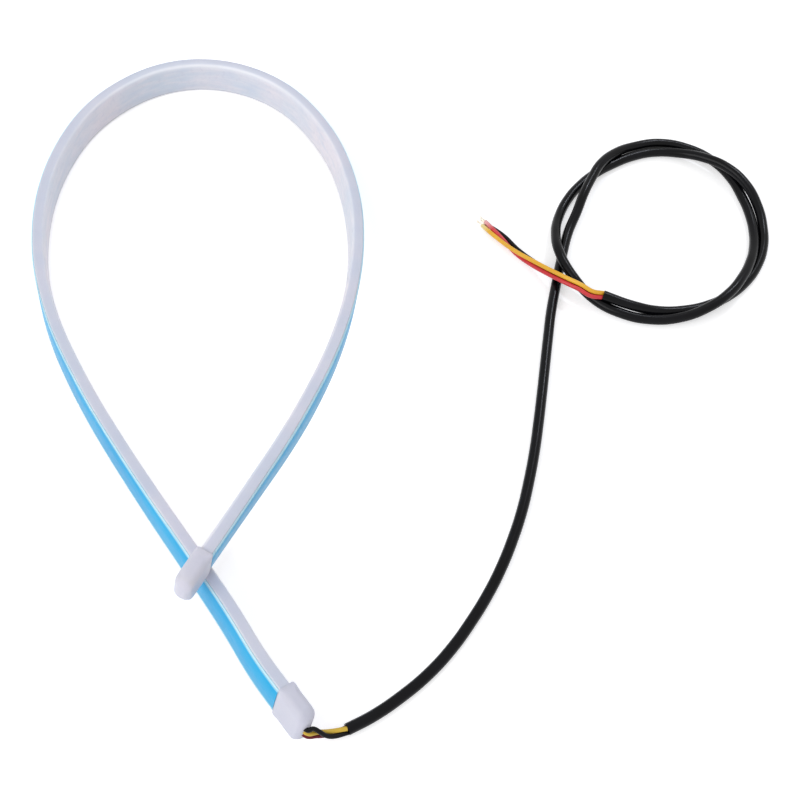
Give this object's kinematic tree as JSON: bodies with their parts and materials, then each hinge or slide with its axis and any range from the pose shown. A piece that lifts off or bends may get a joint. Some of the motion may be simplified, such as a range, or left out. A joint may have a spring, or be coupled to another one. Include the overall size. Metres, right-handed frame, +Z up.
{
  "type": "motorcycle led tail light strip",
  "caption": "Flexible silicone LED light strip with capped ends and adhesive back, bent into a crossing loop, with its cable loosely coiled and coloured bare wires.",
  "frame": {"origin": "on the ground plane, below the middle of the looped strip (cable left out)", "axes": "+Z up, +Y along the loop from the crossing limbs to the round end, +X towards the side where the cable lies"},
  "size_m": [0.2815, 0.2745, 0.031],
  "materials": {
    "silicone": "milky translucent satin",
    "cap": "milky translucent satin",
    "sealant": "clear cured",
    "board": "white solder mask",
    "running_led": "phosphor gel",
    "signal_led": "amber gel",
    "resistor": "glazed",
    "solder": "satin",
    "tape": "foam",
    "film": "glossy film",
    "jacket": "satin",
    "wire_red": "satin",
    "wire_yellow": "satin",
    "wire_black": "satin",
    "copper": "tinned strands"
  },
  "bodies": {
    "root": {"silicone_tube": "silicone", "circuit_board": "board", "running_leds": "running_led", "signal_leds": "signal_led", "resistors": "resistor", "solder_joints": "solder", "adhesive_tape": "tape", "release_film": "film", "far_end_cap": "cap", "far_end_sealant": "sealant", "cable_end_cap": "cap", "cable_end_sealant": "sealant", "lead_red": "wire_red", "lead_yellow": "wire_yellow", "lead_black": "wire_black", "cable_jacket": "jacket", "tail_red": "wire_red", "tail_yellow": "wire_yellow", "tail_black": "wire_black", "bare_strands": "copper"}
  },
  "joints": []
}
